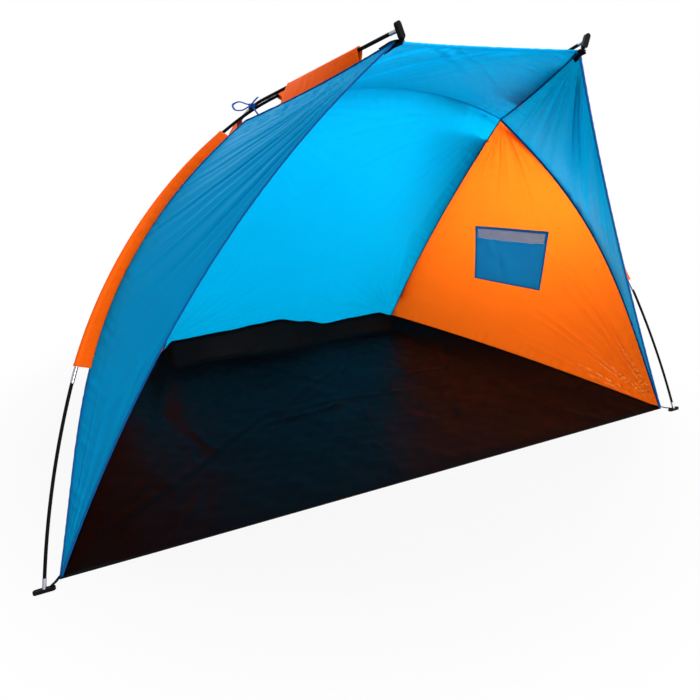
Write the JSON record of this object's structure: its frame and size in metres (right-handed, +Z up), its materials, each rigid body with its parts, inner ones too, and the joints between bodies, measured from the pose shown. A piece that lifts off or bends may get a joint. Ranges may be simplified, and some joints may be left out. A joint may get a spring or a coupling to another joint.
{
  "type": "beach windbreak shelter",
  "caption": "Low open-fronted fabric beach shelter on crossing flexible poles, with a raised-rim groundsheet, sewn pole sleeves and side windows; breaks wind and sun for people seated in it.",
  "frame": {"origin": "middle of the groundsheet's underside, halfway between its front and back edges", "axes": "+Z up, open front towards -Y, +X to the right when looking in from the front"},
  "size_m": [2.116, 1.4276, 1.1891],
  "materials": {
    "groundsheet": "woven plastic, faint sheen",
    "cyan_fabric": "thin coated polyester",
    "blue_fabric": "thin coated polyester",
    "orange_fabric": "thin coated polyester",
    "sleeve_fabric": "thin coated polyester",
    "mesh": "fine net",
    "binding": "woven tape",
    "rod": "satin glass fibre rod",
    "ferrule": "drawn tube",
    "fitting": "moulded",
    "webbing": "woven strap",
    "tape": "flat tape"
  },
  "bodies": {
    "root": {"arch_ferrules": "ferrule", "back_panel": "cyan_fabric", "groundsheet": "groundsheet", "left_arch_pole_lower": "rod", "left_arch_pole_middle": "rod", "left_arch_pole_upper": "rod", "left_arch_sleeve": "sleeve_fabric", "left_back_foot_bar": "fitting", "left_back_strap": "webbing", "left_bow_ferrules": "ferrule", "left_bow_lower_sleeve": "sleeve_fabric", "left_bow_pole_lower": "rod", "left_bow_pole_middle": "rod", "left_bow_pole_upper": "rod", "left_bow_upper_sleeve": "sleeve_fabric", "left_front_foot_bar": "fitting", "left_front_panel": "blue_fabric", "left_front_strap": "webbing", "left_side_panel": "orange_fabric", "left_tie_tape": "tape", "left_tip_bar": "fitting", "left_tip_strap": "webbing", "left_window_binding": "binding", "left_window_flap": "blue_fabric", "left_window_mesh": "mesh", "right_arch_pole_lower": "rod", "right_arch_pole_middle": "rod", "right_arch_pole_upper": "rod", "right_arch_sleeve": "sleeve_fabric", "right_back_foot_bar": "fitting", "right_back_strap": "webbing", "right_bow_ferrules": "ferrule", "right_bow_lower_sleeve": "sleeve_fabric", "right_bow_pole_lower": "rod", "right_bow_pole_middle": "rod", "right_bow_pole_upper": "rod", "right_bow_upper_sleeve": "sleeve_fabric", "right_front_foot_bar": "fitting", "right_front_panel": "blue_fabric", "right_front_strap": "webbing", "right_side_panel": "orange_fabric", "right_tie_tape": "tape", "right_tip_bar": "fitting", "right_tip_strap": "webbing", "right_window_binding": "binding", "right_window_flap": "blue_fabric", "right_window_mesh": "mesh", "roof_panel": "cyan_fabric", "top_sleeve": "sleeve_fabric"}
  },
  "joints": []
}
